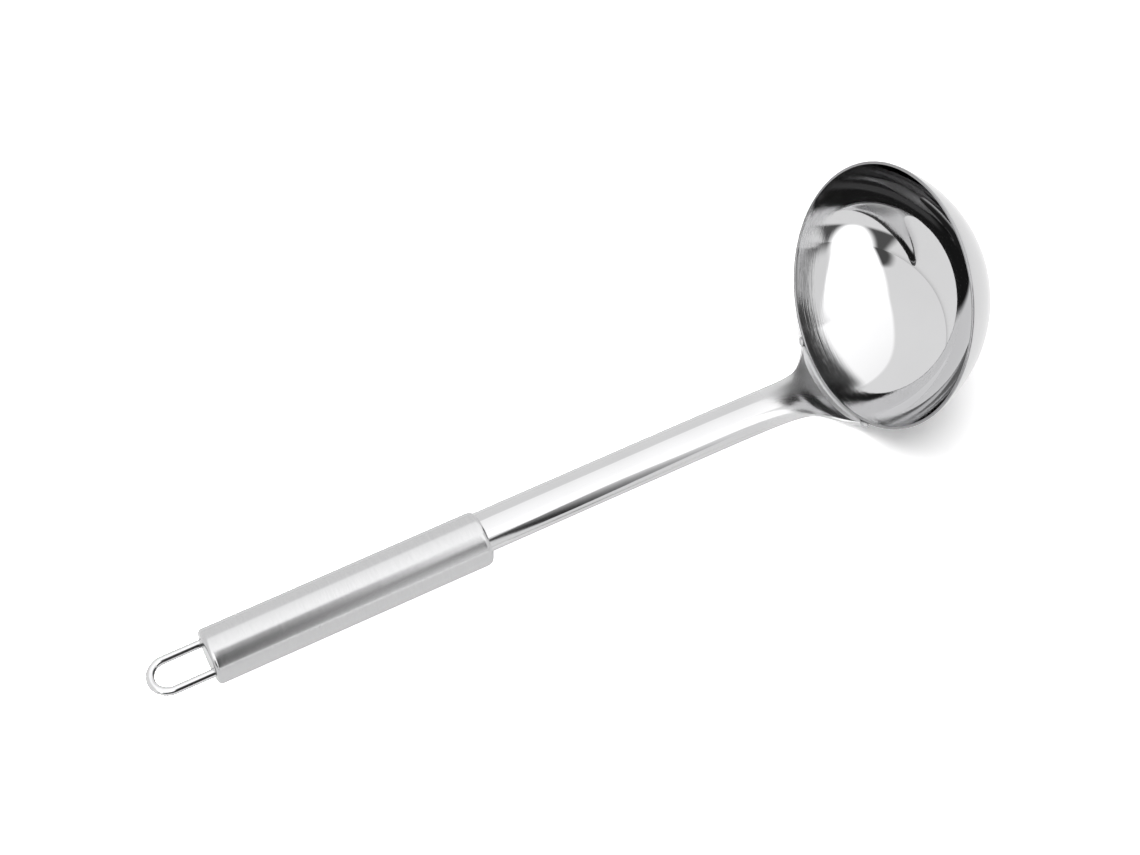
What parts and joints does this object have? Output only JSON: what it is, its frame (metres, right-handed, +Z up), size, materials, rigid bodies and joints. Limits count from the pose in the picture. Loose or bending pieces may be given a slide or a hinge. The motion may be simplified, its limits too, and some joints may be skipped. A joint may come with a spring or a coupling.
{
  "type": "soup ladle",
  "caption": "Stainless steel soup ladle with a round polished bowl, an arched stem flared at the rim, a satin tube handle and a wire hanging loop.",
  "frame": {"origin": "on the table, under the middle of the ladle's bounding box, with the ladle lying at rest on its foot and its handle", "axes": "+X from the hanging loop towards the bowl, +Z up from the table, and y = 0 is the mirror plane"},
  "size_m": [0.3012, 0.0896, 0.0847],
  "materials": {
    "polished_steel": "mirror-polished stainless steel",
    "satin_steel": "satin stainless steel, brushed round the handle",
    "weld_steel": "ground weld metal"
  },
  "bodies": {
    "root": {"bowl": "polished_steel", "stem": "polished_steel", "weld_seam": "weld_steel", "weld_tack_left": "weld_steel", "weld_tack_right": "weld_steel", "handle_tube": "satin_steel", "handle_front_cap": "satin_steel", "handle_rear_cap": "satin_steel", "hanging_loop": "polished_steel"}
  },
  "joints": []
}
